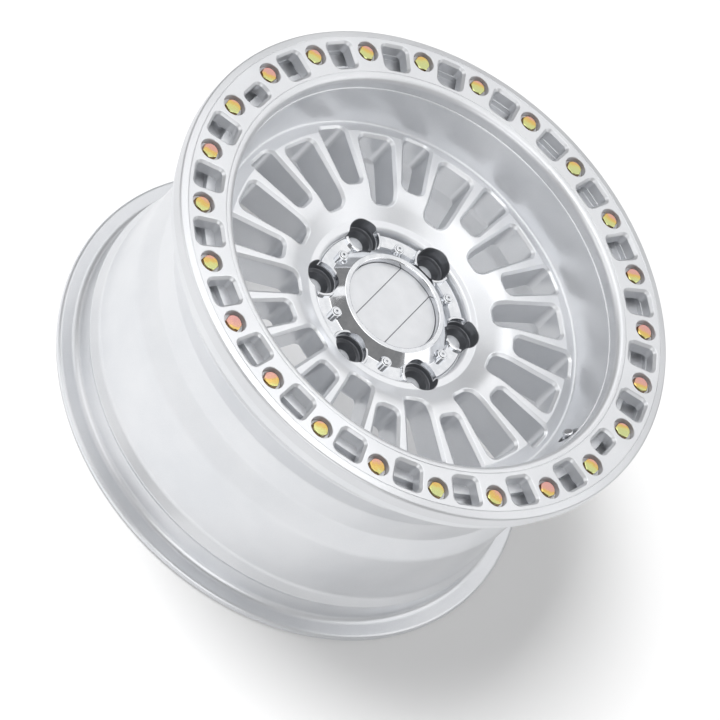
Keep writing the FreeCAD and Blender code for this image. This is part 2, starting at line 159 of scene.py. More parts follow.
class Bench:
    """The modelling moves that every piece is made with."""

    @staticmethod
    def clear() -> None:
        """Leave edit mode and deselect everything."""
        if bpy.context.object is not None and bpy.context.object.mode != "OBJECT":
            bpy.ops.object.mode_set(mode="OBJECT")
        bpy.ops.object.select_all(action="DESELECT")

    @staticmethod
    def pick(*pieces: bpy.types.Object) -> bpy.types.Object:
        """Select only these pieces.

        Args:
            pieces: What to select, the active one first.

        Returns:
            The active piece.
        """
        Bench.clear()
        for piece in pieces:
            piece.select_set(True)
        bpy.context.view_layer.objects.active = pieces[0]
        return pieces[0]

    @staticmethod
    def edit(piece: bpy.types.Object) -> None:
        """Open a piece in edit mode with all of it selected.

        Args:
            piece: The mesh to open.
        """
        Bench.pick(piece)
        bpy.ops.object.mode_set(mode="EDIT")
        bpy.ops.mesh.select_all(action="SELECT")

    @staticmethod
    def loop(points: Sequence[Sequence[float]]) -> bpy.types.Object:
        """Add a circle with one vertex per point and draw it out to those points.

        Args:
            points: Places in millimetres, in order round the loop.

        Returns:
            The loop, at the origin.
        """
        Bench.clear()
        bpy.ops.mesh.primitive_circle_add(vertices=len(points), radius=MM, fill_type="NOTHING")
        piece = bpy.context.object
        for vertex, point in zip(piece.data.vertices, points):
            vertex.co = Vector(point) * MM
        return piece

    @staticmethod
    def turned(corners: Sequence[Corner], steps: int = TURN_STEPS) -> bpy.types.Object:
        """Spin a rounded section about Z.

        Args:
            corners: Section as (radius, height, round) in millimetres.
            steps: Faces round the axis.

        Returns:
            The closed turned piece.
        """
        piece = Bench.loop([(radius, 0.0, height) for radius, height in rounded(corners)])
        Bench.edit(piece)
        bpy.ops.mesh.spin(steps=steps, angle=math.tau, use_auto_merge=True, center=(0, 0, 0), axis=(0, 0, 1))
        bpy.ops.mesh.select_all(action="SELECT")
        bpy.ops.mesh.remove_doubles(threshold=0.002 * MM)
        bpy.ops.mesh.delete_loose()
        bpy.ops.mesh.select_all(action="SELECT")
        bpy.ops.mesh.normals_make_consistent(inside=False)
        Bench.clear()
        return piece

    @staticmethod
    def stacked(rings: Sequence[Sequence[Sequence[float]]]) -> bpy.types.Object:
        """Extrude a loop through a stack of loops with equal counts, and close both ends.

        Args:
            rings: Loops in millimetres, bottom first.

        Returns:
            The closed piece.
        """
        piece = Bench.loop(rings[0])
        count = len(rings[0])
        Bench.edit(piece)
        bpy.ops.mesh.edge_face_add()
        for _ in rings[1:]:
            bpy.ops.mesh.extrude_region_move(TRANSFORM_OT_translate={"value": (0, 0, MM)})
        bpy.ops.object.mode_set(mode="OBJECT")
        for level, ring in enumerate(rings):
            for vertex, point in zip(piece.data.vertices[level * count:(level + 1) * count], ring):
                vertex.co = Vector(point) * MM
        Bench.edit(piece)
        bpy.ops.mesh.normals_make_consistent(inside=False)
        Bench.clear()
        return piece

    @staticmethod
    def placed(piece: bpy.types.Object, place: Matrix) -> bpy.types.Object:
        """Carry a piece to its place and leave its object at the origin.

        Args:
            piece: The mesh to carry.
            place: Where it goes, in metres.

        Returns:
            The piece.
        """
        Bench.pick(piece)
        piece.matrix_world = place
        bpy.ops.object.transform_apply(location=True, rotation=True, scale=True)
        return piece

    @staticmethod
    def around(piece: bpy.types.Object, count: int, phase: float, radius: float = 0.0) -> bpy.types.Object:
        """Set copies of a piece out on a circle and join them.

        Args:
            piece: The piece, modelled on the axis or on the X side of it.
            count: How many there are.
            phase: Angle of the first one.
            radius: How far out each copy is moved.

        Returns:
            One mesh of all the copies.
        """
        copies = []
        for index in range(count):
            copy = piece.copy()
            copy.data = piece.data.copy()
            bpy.context.collection.objects.link(copy)
            turn = Matrix.Rotation(math.radians(phase + index * 360.0 / count), 4, "Z")
            copies.append(Bench.placed(copy, turn @ Matrix.Translation((radius * MM, 0, 0))))
        bpy.data.objects.remove(piece)
        return Bench.joined(copies)

    @staticmethod
    def joined(pieces: Sequence[bpy.types.Object]) -> bpy.types.Object:
        """Join pieces into the first one.

        Args:
            pieces: The meshes to join.

        Returns:
            The one mesh.
        """
        Bench.pick(*pieces)
        bpy.ops.object.join()
        return bpy.context.object

    @staticmethod
    def carve(piece: bpy.types.Object, tools: Iterable[bpy.types.Object], how: Cut = Cut.AWAY) -> None:
        """Cut tools out of a piece, add them or keep what lies within them, and use the tools up.

        Args:
            piece: The mesh that is changed.
            tools: The meshes that change it, in order.
            how: What each tool does.
        """
        for tool in tools:
            Bench.pick(piece)
            change = piece.modifiers.new("carve", "BOOLEAN")
            change.operation = how.value
            change.solver = "EXACT"
            change.object = tool
            bpy.ops.object.modifier_apply(modifier=change.name)
            bpy.data.objects.remove(tool)

    @staticmethod
    def smooth(piece: bpy.types.Object, degrees: float = 28.0) -> None:
        """Shade a piece smooth up to an angle, with its large faces kept flat.

        Args:
            piece: The finished mesh.
            degrees: Edges sharper than this stay sharp.
        """
        Bench.pick(piece)
        bpy.ops.object.shade_smooth_by_angle(angle=math.radians(degrees))
        even = piece.modifiers.new("even", "WEIGHTED_NORMAL")
        even.keep_sharp = True
        even.weight = 60
        bpy.ops.object.modifier_apply(modifier=even.name)

    @staticmethod
    def rod(radius: float, bottom: float, top: float, sides: int = SMALL_STEPS) -> bpy.types.Object:
        """A straight upright bar, used as a tool or as the start of a piece."""
        ring = [polar(radius, k * 360.0 / sides) for k in range(sides)]
        return Bench.stacked([[(x, y, z) for x, y in ring] for z in (bottom, top)])


class Num:
    """A number that varies over a surface; operators on it add Math nodes."""

    def __init__(self, graph: "Graph", socket: bpy.types.NodeSocket) -> None:
        """Wrap a socket of a graph."""
        self.graph = graph
        self.socket = socket

    def __add__(self, other: "Value") -> "Num":
        """Sum."""
        return self.graph.math("ADD", self, other)

    def __sub__(self, other: "Value") -> "Num":
        """Difference."""
        return self.graph.math("SUBTRACT", self, other)

    def __rsub__(self, other: "Value") -> "Num":
        """Difference with the number second."""
        return self.graph.math("SUBTRACT", other, self)

    def __mul__(self, other: "Value") -> "Num":
        """Product."""
        return self.graph.math("MULTIPLY", self, other)

    def __abs__(self) -> "Num":
        """Size without sign."""
        return self.graph.math("ABSOLUTE", self)

    __radd__ = __add__
    __rmul__ = __mul__

    def wave(self) -> "Num":
        """Sine."""
        return self.graph.math("SINE", self)

    def cosine(self) -> "Num":
        """Cosine."""
        return self.graph.math("COSINE", self)

    def root(self) -> "Num":
        """Square root."""
        return self.graph.math("SQRT", self)

    def folded(self, pitch: float, phase: float) -> "Num":
        """Repeat an angle about the middle of each pitch, from -pitch / 2 to pitch / 2."""
        return self.graph.math("WRAP", self - phase, pitch / 2, -pitch / 2)

    def between(self, low: float, high: float) -> "Num":
        """Smooth step from 0 at low to 1 at high; low may be the larger."""
        node = self.graph.node("ShaderNodeMapRange", {"interpolation_type": "SMOOTHSTEP"},
                               {"Value": self, "From Min": low, "From Max": high})
        return Num(self.graph, node.outputs["Result"])


Value = Union[Num, float]


class Graph:
    """The node tree of one material."""

    def __init__(self, name: str) -> None:
        """Start a material with an empty tree.

        Args:
            name: The material's name.
        """
        self.material = bpy.data.materials.new(name)
        self.material.use_nodes = True
        self.tree = self.material.node_tree
        self.tree.nodes.clear()

    def node(self, kind: str, settings: dict | None = None, inputs: dict | None = None) -> bpy.types.Node:
        """Add a node.

        Args:
            kind: The node's type.
            settings: Its properties, and "stops" for a ramp's (place, colour) pairs.
            inputs: Numbers, colours, sockets or Num values by socket name or index.

        Returns:
            The node.
        """
        node = self.tree.nodes.new(kind)
        for key, value in (settings or {}).items():
            if key == "stops":
                stops = node.color_ramp.elements
                for _ in value[2:]:
                    stops.new(1.0)
                for stop, (place, colour) in zip(stops, value):
                    stop.position = place
                    stop.color = colour
            else:
                setattr(node, key, value)
        for key, value in (inputs or {}).items():
            source = value.socket if isinstance(value, Num) else value
            if isinstance(source, bpy.types.NodeSocket):
                self.tree.links.new(source, node.inputs[key])
            else:
                node.inputs[key].default_value = source
        return node

    def math(self, operation: str, *values: Value) -> Num:
        """Add a Math node over numbers and wrapped sockets."""
        node = self.node("ShaderNodeMath", {"operation": operation}, dict(enumerate(values)))
        return Num(self, node.outputs[0])

    def place(self) -> tuple[Num, Num, Num]:
        """The surface point in millimetres.

        Returns:
            Its three coordinates, which vary over the surface.
        """
        coordinate = self.node("ShaderNodeTexCoord").outputs["Object"]
        parts = self.node("ShaderNodeSeparateXYZ", inputs={"Vector": coordinate}).outputs
        x, y, z = (Num(self, part) * (1 / MM) for part in parts)
        return x, y, z

    def noise(self, size: float, detail: float = 3.0) -> Num:
        """Add cloudy noise.

        Args:
            size: How large its features are, in millimetres.
            detail: How many finer layers it has.

        Returns:
            The noise, mostly between 0.3 and 0.7.
        """
        coordinate = self.node("ShaderNodeTexCoord").outputs["Object"]
        node = self.node("ShaderNodeTexNoise", inputs={"Vector": coordinate, "Scale": 1 / (size * MM),
                                                       "Detail": detail, "Roughness": 0.55})
        return Num(self, node.outputs["Fac"])

    def blend(self, mask: Value, first: object, second: object) -> bpy.types.NodeSocket:
        """Mix two colours by a mask."""
        node = self.node("ShaderNodeMix", {"data_type": "RGBA"}, {0: mask, 6: first, 7: second})
        return node.outputs[2]

    def ramp(self, value: Num, stops: Sequence[tuple[float, Colour]]) -> bpy.types.NodeSocket:
        """Colours picked along a value."""
        return self.node("ShaderNodeValToRGB", {"stops": stops}, {0: value}).outputs["Color"]

    def bump(self, height: Num, depth: float, strength: float = 1.0) -> bpy.types.NodeSocket:
        """A bumped normal from a height, with its depth in millimetres."""
        node = self.node("ShaderNodeBump",
                         inputs={"Height": height, "Distance": depth * MM, "Strength": strength})
        return node.outputs["Normal"]

    def surface(self, **inputs: object) -> bpy.types.Material:
        """Close the tree with a Principled surface.

        Args:
            inputs: Its inputs, with underscores for spaces in their names.

        Returns:
            The finished material.
        """
        named = {key.replace("_", " "): value for key, value in inputs.items()}
        shader = self.node("ShaderNodeBsdfPrincipled", inputs=named)
        self.node("ShaderNodeOutputMaterial", inputs={"Surface": shader.outputs["BSDF"]})
        return self.material


def tone(red: float, green: float, blue: float) -> Colour:
    """An opaque linear colour."""
    return red, green, blue, 1.0


@dataclass(frozen=True)
class SatinSilver:
    """Bright silver lacquer on cast and turned alloy, with painted shade in the lug pockets and bare stud
    holes.
    """

    name: str
    light: Colour = tone(0.80, 0.81, 0.83)
    dull: Colour = tone(0.73, 0.745, 0.77)
    # Painted shade: this dark colour is laid over the walls and floor of the lug pockets.
    pocket: Colour = tone(0.13, 0.136, 0.15)
    metal: float = 0.66
    roughness: float = 0.35
    lugs: HoleCircle = LUGS
    pocket_shade_edge: float = 15.9
    hole_edge: float = 8.2
    pocket_shade_heights: Flat = (30.0, 52.0)
    flake_size: float = 0.9
    cloud_size: float = 70.0
    turning_pitch: float = 1.1
    grain_depth: float = 0.012

    def material(self) -> bpy.types.Material:
        """Build the finish.

        Returns:
            The finished material.
        """
        graph = Graph(self.name)
        x, y, z = graph.place()
        radius = (x * x + y * y).root()
        pitch = math.tau / self.lugs.number
        angle = graph.math("ARCTAN2", y, x).folded(pitch, math.radians(self.lugs.phase))
        across = radius * angle.wave()
        along = radius * angle.cosine() - self.lugs.radius
        reach = (across * across + along * along).root()
        flake = graph.noise(self.flake_size, 2.0)
        cloud = graph.noise(self.cloud_size)
        colour = graph.blend((cloud * 0.7 + flake * 0.3).between(0.3, 0.7), self.dull, self.light)
        bare = reach.between(self.hole_edge, self.hole_edge - 0.3)
        # Painted shade in the lug pockets: darkest low in the pocket, weaker towards its mouth, with the stud
        # holes left out.
        pocket_shade_mask = reach.between(self.pocket_shade_edge, self.pocket_shade_edge - 0.35) * z.between(1.0, 2.0) * (1.0 - bare)
        shade = pocket_shade_mask * (1.0 - z.between(*self.pocket_shade_heights) * 0.45)
        colour = graph.blend(shade * 0.92, colour, self.pocket)
        turned = (radius * (math.tau / self.turning_pitch)).wave() * 0.5 + 0.5
        grain = turned * 0.25 + flake
        roughness = cloud * 0.10 + flake * 0.06 + (self.roughness - 0.08)
        return graph.surface(Base_Color=colour, Metallic=self.metal * (1.0 - bare * 0.8), Roughness=roughness,
                             Normal=graph.bump(grain, self.grain_depth, 0.5))


@dataclass(frozen=True)
class Chrome:
    """Mirror plating with the faint haze of handling."""

    name: str
    light: Colour = tone(0.80, 0.81, 0.83)
    shade: Colour = tone(0.70, 0.715, 0.74)
    roughness: float = 0.05

    def material(self) -> bpy.types.Material:
        """Build the finish.

        Returns:
            The finished material.
        """
        graph = Graph(self.name)
        haze = graph.noise(9.0, 4.0)
        fine = graph.noise(0.6, 2.0)
        colour = graph.blend(haze.between(0.35, 0.7), self.shade, self.light)
        roughness = haze.between(0.4, 0.75) * 0.06 + self.roughness
        return graph.surface(Base_Color=colour, Metallic=1.0, Roughness=roughness,
                             Normal=graph.bump(fine, 0.004, 0.3))


@dataclass(frozen=True)
class PaleDisc:
    """Flat pale silver of the cap's disc, finely sanded along its bar, with painted shade in its two grooves.
    """

    name: str
    light: Colour = tone(0.74, 0.75, 0.77)
    dull: Colour = tone(0.67, 0.68, 0.70)
    groove_shade: Colour = tone(0.16, 0.165, 0.18)
    bar_angle: float = BAR_ANGLE
    bar_width: float = BAR_WIDTH
    sanding_pitch: float = 0.35

    def material(self) -> bpy.types.Material:
        """Build the finish.

        Returns:
            The finished material.
        """
        graph = Graph(self.name)
        x, y, _ = graph.place()
        turn = math.radians(self.bar_angle)
        across = y * math.cos(turn) - x * math.sin(turn)
        cloud = graph.noise(18.0, 3.0)
        sanded = (across * (math.tau / self.sanding_pitch) + cloud * 9.0).wave() * 0.5 + 0.5
        colour = graph.blend((cloud * 0.8 + sanded * 0.2).between(0.25, 0.75), self.dull, self.light)
        # Painted shade: the two grooves beside the bar are coloured near black.
        groove = abs(abs(across) - self.bar_width / 2).between(0.5, 0.35)
        colour = graph.blend(groove, colour, self.groove_shade)
        return graph.surface(Base_Color=colour, Metallic=0.55, Roughness=cloud * 0.12 + 0.34,
                             Normal=graph.bump(sanded, 0.006, 0.35))


@dataclass(frozen=True)
class GoldZinc:
    """Yellow passivated zinc that turns from pink over gold to pale green, with painted dark brown shade on
    its flanks.
    """

    name: str
    bolts: HoleCircle = BOLTS
    turn: float = 70.0
    head_top: float = 99.9
    flank_shade: Colour = tone(0.30, 0.15, 0.07)

    def material(self) -> bpy.types.Material:
        """Build the finish.

        Returns:
            The finished material.
        """
        graph = Graph(self.name)
        x, y, z = graph.place()
        angle = graph.math("ARCTAN2", y, x)
        bolt = angle - angle.folded(math.tau / self.bolts.number, self.bolts.phase)
        along = (x - bolt.cosine() * self.bolts.radius) * math.cos(math.radians(self.turn))
        along = along + (y - bolt.wave() * self.bolts.radius) * math.sin(math.radians(self.turn))
        stain = graph.noise(3.5, 3.0)
        drift = graph.noise(45.0, 1.0)
        tint = along * 0.055 + drift * 1.5 + stain * 0.3 - 0.4
        colour = graph.ramp(tint.between(0.0, 1.0), [
            (0.0, tone(0.66, 0.35, 0.32)), (0.30, tone(0.68, 0.38, 0.27)), (0.42, tone(0.68, 0.45, 0.14)),
            (0.62, tone(0.66, 0.49, 0.16)), (0.74, tone(0.61, 0.58, 0.22)), (1.0, tone(0.56, 0.60, 0.27))])
        # Painted shade: below the head's top, its bevel and flanks turn dark brown.
        flank_shade = z.between(self.head_top - 0.4, self.head_top - 0.9)
        colour = graph.blend(flank_shade * 0.8, colour, self.flank_shade)
        return graph.surface(Base_Color=colour, Metallic=1.0, Roughness=stain * 0.14 + 0.14,
                             Normal=graph.bump(stain, 0.02, 0.5))


@dataclass(frozen=True)
class PlainMetal:
    """Turned metal of the valve's small pieces."""

    name: str
    light: Colour
    dark: Colour
    roughness: float = 0.2

    def material(self) -> bpy.types.Material:
        """Build the finish.

        Returns:
            The finished material.
        """
        graph = Graph(self.name)
        cloud = graph.noise(2.5, 3.0)
        fine = graph.noise(0.4, 2.0)
        colour = graph.blend(cloud.between(0.35, 0.7), self.dark, self.light)
        return graph.surface(Base_Color=colour, Metallic=1.0, Roughness=cloud * 0.12 + self.roughness,
                             Normal=graph.bump(fine, 0.006, 0.5))


@dataclass(frozen=True)
class BlackRubber:
    """Moulded rubber with a dusty bloom."""

    name: str

    def material(self) -> bpy.types.Material:
        """Build the finish.

        Returns:
            The finished material.
        """
        graph = Graph(self.name)
        bloom = graph.noise(3.0, 4.0)
        grit = graph.noise(0.3, 2.0)
        colour = graph.blend(bloom.between(0.4, 0.75), tone(0.014, 0.014, 0.015), tone(0.045, 0.045, 0.046))
        return graph.surface(Base_Color=colour, Roughness=bloom * 0.2 + 0.55,
                             Normal=graph.bump(grit, 0.02, 0.6))


def hand_over(piece: bpy.types.Object, name: str, material: bpy.types.Material, body: Body,
              node: str) -> bpy.types.Object:
    """Name, dress and mount a finished piece.

    Args:
        piece: The mesh, at the origin.
        name: Its name in the scene.
        material: Its finish.
        body: The body that it rides on.
        node: The solid that it stands for.

    Returns:
        The piece.
    """
    piece.name = name
    piece.data.name = name
    piece.data.materials.clear()
    piece.data.materials.append(material)
    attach(piece, body.value)
    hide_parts(node)
    LOG.info("%s: %d faces", name, len(piece.data.polygons))
    return piece


@dataclass(frozen=True)
class SectorHole:
    """A hole with the outline of a sector and a softly bevelled mouth."""

    inner: float
    outer: float
    half_angle: float
    inner_round: float
    outer_round: float
    bevel: float
    soft: float = 0.5

    def outline(self, grow: float) -> list[Flat]:
        """The outline on the X axis with its edges moved out.

        Args:
            grow: How far each edge moves, in millimetres.

        Returns:
            The outline's points, as many for every growth.
        """
        slope = math.tan(math.radians(self.half_angle))
        side = grow / math.cos(math.radians(self.half_angle))
        low = self.inner - grow
        high = self.outer + grow
        corners = [(low, -low * slope - side, self.inner_round + grow),
                   (high, -high * slope - side, self.outer_round + grow),
                   (high, high * slope + side, self.outer_round + grow),
                   (low, low * slope + side, self.inner_round + grow)]
        return rounded(corners)

    def with_runs(self, grow: float, run: float) -> list[Flat]:
        """The outline with its straight stretches divided evenly.

        Args:
            grow: How far each edge moves, in millimetres.
            run: Longest stretch that is left.

        Returns:
            The outline's points, as many for every growth.
        """
        base = self.outline(0.0)
        grown = self.outline(grow)
        points: list[Flat] = []
        for index, here in enumerate(grown):
            before = grown[index - 1]
            length = math.dist(base[index], base[index - 1])
            pieces = max(1, math.ceil(length / run))
            points += [(before[0] + (here[0] - before[0]) * k / pieces,
                        before[1] + (here[1] - before[1]) * k / pieces) for k in range(1, pieces + 1)]
        return points

    def tool(self, face: Callable[[float], float], bottom: float, run: float = 4.0) -> bpy.types.Object:
        """The cutter, whose bevel follows the face that it opens in.

        Args:
            face: Height of that face at a radius.
            bottom: Height of the cutter's foot.
            run: Longest straight stretch of its outline.

        Returns:
            The cutter on the X axis.
        """
        bevel = self.bevel
        soft = self.soft
        slant = soft / math.sqrt(2)
        near = 0.08 * soft
        far = 0.18 * soft
        steps = [(0.0, -bevel - soft), (far, -bevel - near), (slant, -bevel + slant), (bevel - slant, -slant),
                 (bevel + near, -far), (bevel + soft, 0.01), (bevel + soft + 0.05, THROUGH)]
        rings = [[(u, v, bottom) for u, v in self.with_runs(0.0, run)]]
        for grow, drop in steps:
            rings.append([(u, v, face(math.hypot(u, v)) + drop) for u, v in self.with_runs(grow, run)])
        return Bench.stacked(rings)


@dataclass
class ValvePlace:
    """Where the valve's axis comes out of the dish wall."""

    angle: float = 127.5
    radius: float = 186.0
    height: float = 76.0
    tilt: float = 50.0

    def matrix(self) -> Matrix:
        """Carry the valve's own axis, mouth at the origin, to its place.

        Returns:
            The move, in metres.
        """
        around = Matrix.Rotation(math.radians(self.angle), 4, "Z")
        out = Matrix.Translation((self.radius * MM, 0, self.height * MM))
        lean = Matrix.Rotation(math.radians(self.tilt - 90), 4, "Y")
        return around @ out @ lean


@dataclass
class Casting:
    """The one-piece wheel: rim, dish, spokes and hub."""

    bead_radius: float = 218.3
    flange_radius: float = 236.3
    outboard: float = 73.95
    inboard: float = -141.95
    lip: float = 7.5
    lip_width: float = 19.0
    seat_width: float = 20.0
    seat_fall: float = 1.75
    hump: float = 1.4
    hump_reach: float = 3.5
    well: Corner = (203.0, 16.0, -14.0)
    barrel_radius: float = 210.5
    barrel_start: float = -40.0
    flare: float = 2.0
    end_gap: float = 10.0
    wall: float = 7.0
    landing: float = 88.0
    groove: Corner = (211.0, 226.0, 82.0)
    dish_mouth: float = 188.0
    dish_foot: Flat = (180.5, 44.0)
    spoke_edge: float = 168.0
    spoke_face: float = 50.0
    spoke_back: float = 16.0
    spoke_root: float = 190.0
    shoulder: Flat = (106.0, 40.0)
    hub_face: Flat = (84.0, 37.0)
    hub_pad: Flat = (86.0, 4.0)
    cap_seat: Flat = (75.5, 28.0)
    hub_bore: Flat = (53.05, 18.0)
    cap_bore: float = 51.5
    edge: float = 0.8
    pairs: int = 12
    window_phase: float = 7.5
    short_window: SectorHole = SectorHole(116.0, 172.2, 4.55, 6.0, 6.0, 2.8)
    long_window: SectorHole = SectorHole(98.0, 163.4, 5.95, 7.0, 6.0, 2.8)
    lug_floor: float = 23.0
    lug_seat: float = 11.5
    lug_pocket: float = 15.3
    stud_hole: float = 7.75
    boss_radius: float = 12.0
    boss_sink: float = 1.0
    bolt_hole: Flat = (4.15, 79.8)
    screw_hole: Flat = (2.15, 21.6)
    hole_sides: int = 24
    valve_pocket: Flat = (9.0, -22.0)
    valve_hole: float = 4.15
    valve_spot: Flat = (10.5, -38.0)
    valve_reach: float = -68.0

    def section(self) -> list[Corner]:
        """The turned section, anticlockwise from the hub bore.

        Returns:
            Corners as (radius, height, round).
        """
        edge = self.edge
        seat_end = self.bead_radius - self.seat_fall
        out_end = self.outboard - self.seat_width
        in_end = self.inboard + self.seat_width
        barrel_end = in_end + self.hump_reach + self.end_gap
        rest = self.inboard - self.lip
        groove_in, groove_out, groove_floor = self.groove
        well, well_top, well_low = self.well
        return [
            (self.hub_bore[0], 0, edge), (*self.hub_bore, 0), (self.cap_bore, self.hub_bore[1], 0),
            (self.cap_bore, self.cap_seat[1], 0), (*self.cap_seat, edge),
            (self.cap_seat[0], self.hub_face[1], 3.5), (*self.hub_face, 2.5),
            (self.shoulder[0], self.spoke_face, self.shoulder[1]), (self.spoke_edge, self.spoke_face, 1.5),
            (*self.dish_foot, 2.0), (self.dish_mouth, self.landing, edge),
            (groove_in, self.landing, edge), (groove_in, groove_floor, edge),
            (groove_out, groove_floor, edge), (groove_out, self.landing, edge),
            (self.flange_radius, self.landing, 3.5), (self.flange_radius, self.outboard, 3.5),
            (self.bead_radius, self.outboard, 6.5), (seat_end, out_end, 2.0),
            (seat_end + self.hump, out_end - self.hump_reach, 2.0),
            (well, well_top, 14.0), (well, well_low, 14.0), (self.barrel_radius, self.barrel_start, 30.0),
            (self.barrel_radius + self.flare, barrel_end, 12.0),
            (seat_end + self.hump, in_end + self.hump_reach, 2.0), (seat_end, in_end, 2.0),
            (self.bead_radius, self.inboard, 6.5), (self.flange_radius, self.inboard, 3.5),
            (self.flange_radius, rest, 3.5), (self.flange_radius - self.lip_width, rest, 2.0),
            (self.barrel_radius + self.flare - self.wall, barrel_end - self.end_gap, 8.0),
            (self.barrel_radius - self.wall, self.barrel_start, 30.0), (well - self.wall, well_low, 14.0),
            (self.spoke_root, self.spoke_back, 4.0), (sum(self.hub_pad), self.spoke_back, 3.0),
            (self.hub_pad[0], 0, edge),
        ]

    def face(self, radius: float) -> float:
        """Find the visible face, from the hub step out to the dish wall.

        Args:
            radius: Distance from the axis.

        Returns:
            The face's height there.
        """
        points = [(u, v) for u, v in rounded(self.section()) if self.hub_face[0] - 4 < u < self.dish_foot[0]
                  and v > self.hub_face[1] - 1]
        points.sort()
        for (near, low), (far, high) in zip(points, points[1:]):
            if near <= radius <= far:
                share = (radius - near) / max(far - near, 1e-6)
                return low + (high - low) * share
        return points[0][1] if radius < points[0][0] else points[-1][1]

    def windows(self) -> list[bpy.types.Object]:
        """Cutters for the short windows and the long ones between them.

        Returns:
            One cutter for each kind.
        """
        heights: dict[float, float] = {}

        def face(radius: float) -> float:
            """Face height, worked out once for each tenth of a millimetre.

            Args:
                radius: Distance from the axis.

            Returns:
                The face's height there.
            """
            key = round(radius, 1)
            if key not in heights:
                heights[key] = self.face(key)
            return heights[key]

        half = 180.0 / self.pairs
        return [Bench.around(self.short_window.tool(face, -THROUGH), self.pairs, self.window_phase),
                Bench.around(self.long_window.tool(face, -THROUGH), self.pairs, self.window_phase + half)]

    def lugs(self) -> bpy.types.Object:
        """Cutter for the lug holes: nut pocket, conical seat and stud clearance.

        Returns:
            One cutter for all six.
        """
        floor = self.lug_floor
        top = self.spoke_face + THROUGH
        cone = floor - (self.lug_seat - self.stud_hole) * math.sqrt(3)
        tool = Bench.turned([(0, -THROUGH, 0), (self.stud_hole, -THROUGH, 0), (self.stud_hole, cone, 0),
                             (self.lug_seat, floor, 0), (self.lug_pocket, floor, 1.0),
                             (self.lug_pocket, top, 0), (0, top, 0)], HOLE_STEPS)
        return Bench.around(tool, *LUGS)

    def valve(self, place: ValvePlace) -> bpy.types.Object:
        """Make the cutter for the valve: pocket, drilled wall and spot face.

        Args:
            place: Where the valve comes out.

        Returns:
            The cutter, in its place.
        """
        pocket, wall = self.valve_pocket
        spot, spot_floor = self.valve_spot
        hole = self.valve_hole
        tool = Bench.turned([(0, self.valve_reach, 0), (spot, self.valve_reach, 0), (spot, spot_floor, 0),
                             (hole, spot_floor, 0), (hole, wall, 0), (pocket, wall, 1.0),
                             (pocket, THROUGH, 0), (0, THROUGH, 0)], HOLE_STEPS)
        return Bench.placed(tool, place.matrix())

    def build(self, place: ValvePlace) -> bpy.types.Object:
        """Turn the section and pierce it.

        Args:
            place: Where the valve comes out.

        Returns:
            The finished mesh.
        """
        body = Bench.turned(self.section())
        boss = Bench.rod(self.boss_radius, self.groove[2] - self.boss_sink, self.landing)
        Bench.carve(body, [Bench.around(boss, *BOLTS)], Cut.ADD)
        tapped = Bench.around(Bench.rod(*self.bolt_hole, self.landing + THROUGH, self.hole_sides), *BOLTS)
        screw = Bench.rod(*self.screw_hole, self.cap_seat[1] + THROUGH, self.hole_sides)
        screws = Bench.around(screw, *CAP_SCREWS)
        Bench.carve(body, [*self.windows(), self.lugs(), tapped, screws, self.valve(place)])
        Bench.smooth(body)
        return body

    def dress(self, body: bpy.types.Object, finish: SatinSilver) -> None:
        """Give the casting its finish and its place."""
        hand_over(body, "wheel_casting", finish.material(), Body.WHEEL, "wheel_body")


